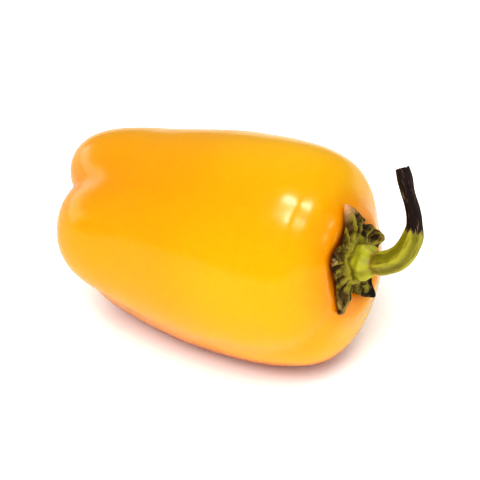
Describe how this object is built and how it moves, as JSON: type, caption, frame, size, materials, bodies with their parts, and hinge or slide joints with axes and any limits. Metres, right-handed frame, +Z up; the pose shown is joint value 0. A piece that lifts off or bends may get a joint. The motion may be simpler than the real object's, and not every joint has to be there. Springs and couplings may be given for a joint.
{
  "type": "bell pepper",
  "caption": "Small blocky sweet bell pepper lying on its side, with a toothed calyx and a bent, partly dried stem.",
  "frame": {"origin": "on the resting plane, under the middle of the whole pepper's bounding box", "axes": "+X along the fruit towards the stem end, +Z up, -Y towards the side that the pictured view shows"},
  "size_m": [0.09, 0.0494, 0.0538],
  "materials": {
    "fruit_skin": "ripe yellow pepper skin: smooth, waxy, glossy, slightly translucent, deeper orange towards the blossom end and round the calyx",
    "calyx_leaf": "olive green calyx, ribbed, drying to brown and black at the teeth and in the creases",
    "stem_skin": "fluted stem, matte yellow-green below and dried to dark brown above and on the cut end"
  },
  "bodies": {
    "root": {"fruit_body": "fruit_skin", "calyx": "calyx_leaf", "stem": "stem_skin"}
  },
  "joints": []
}
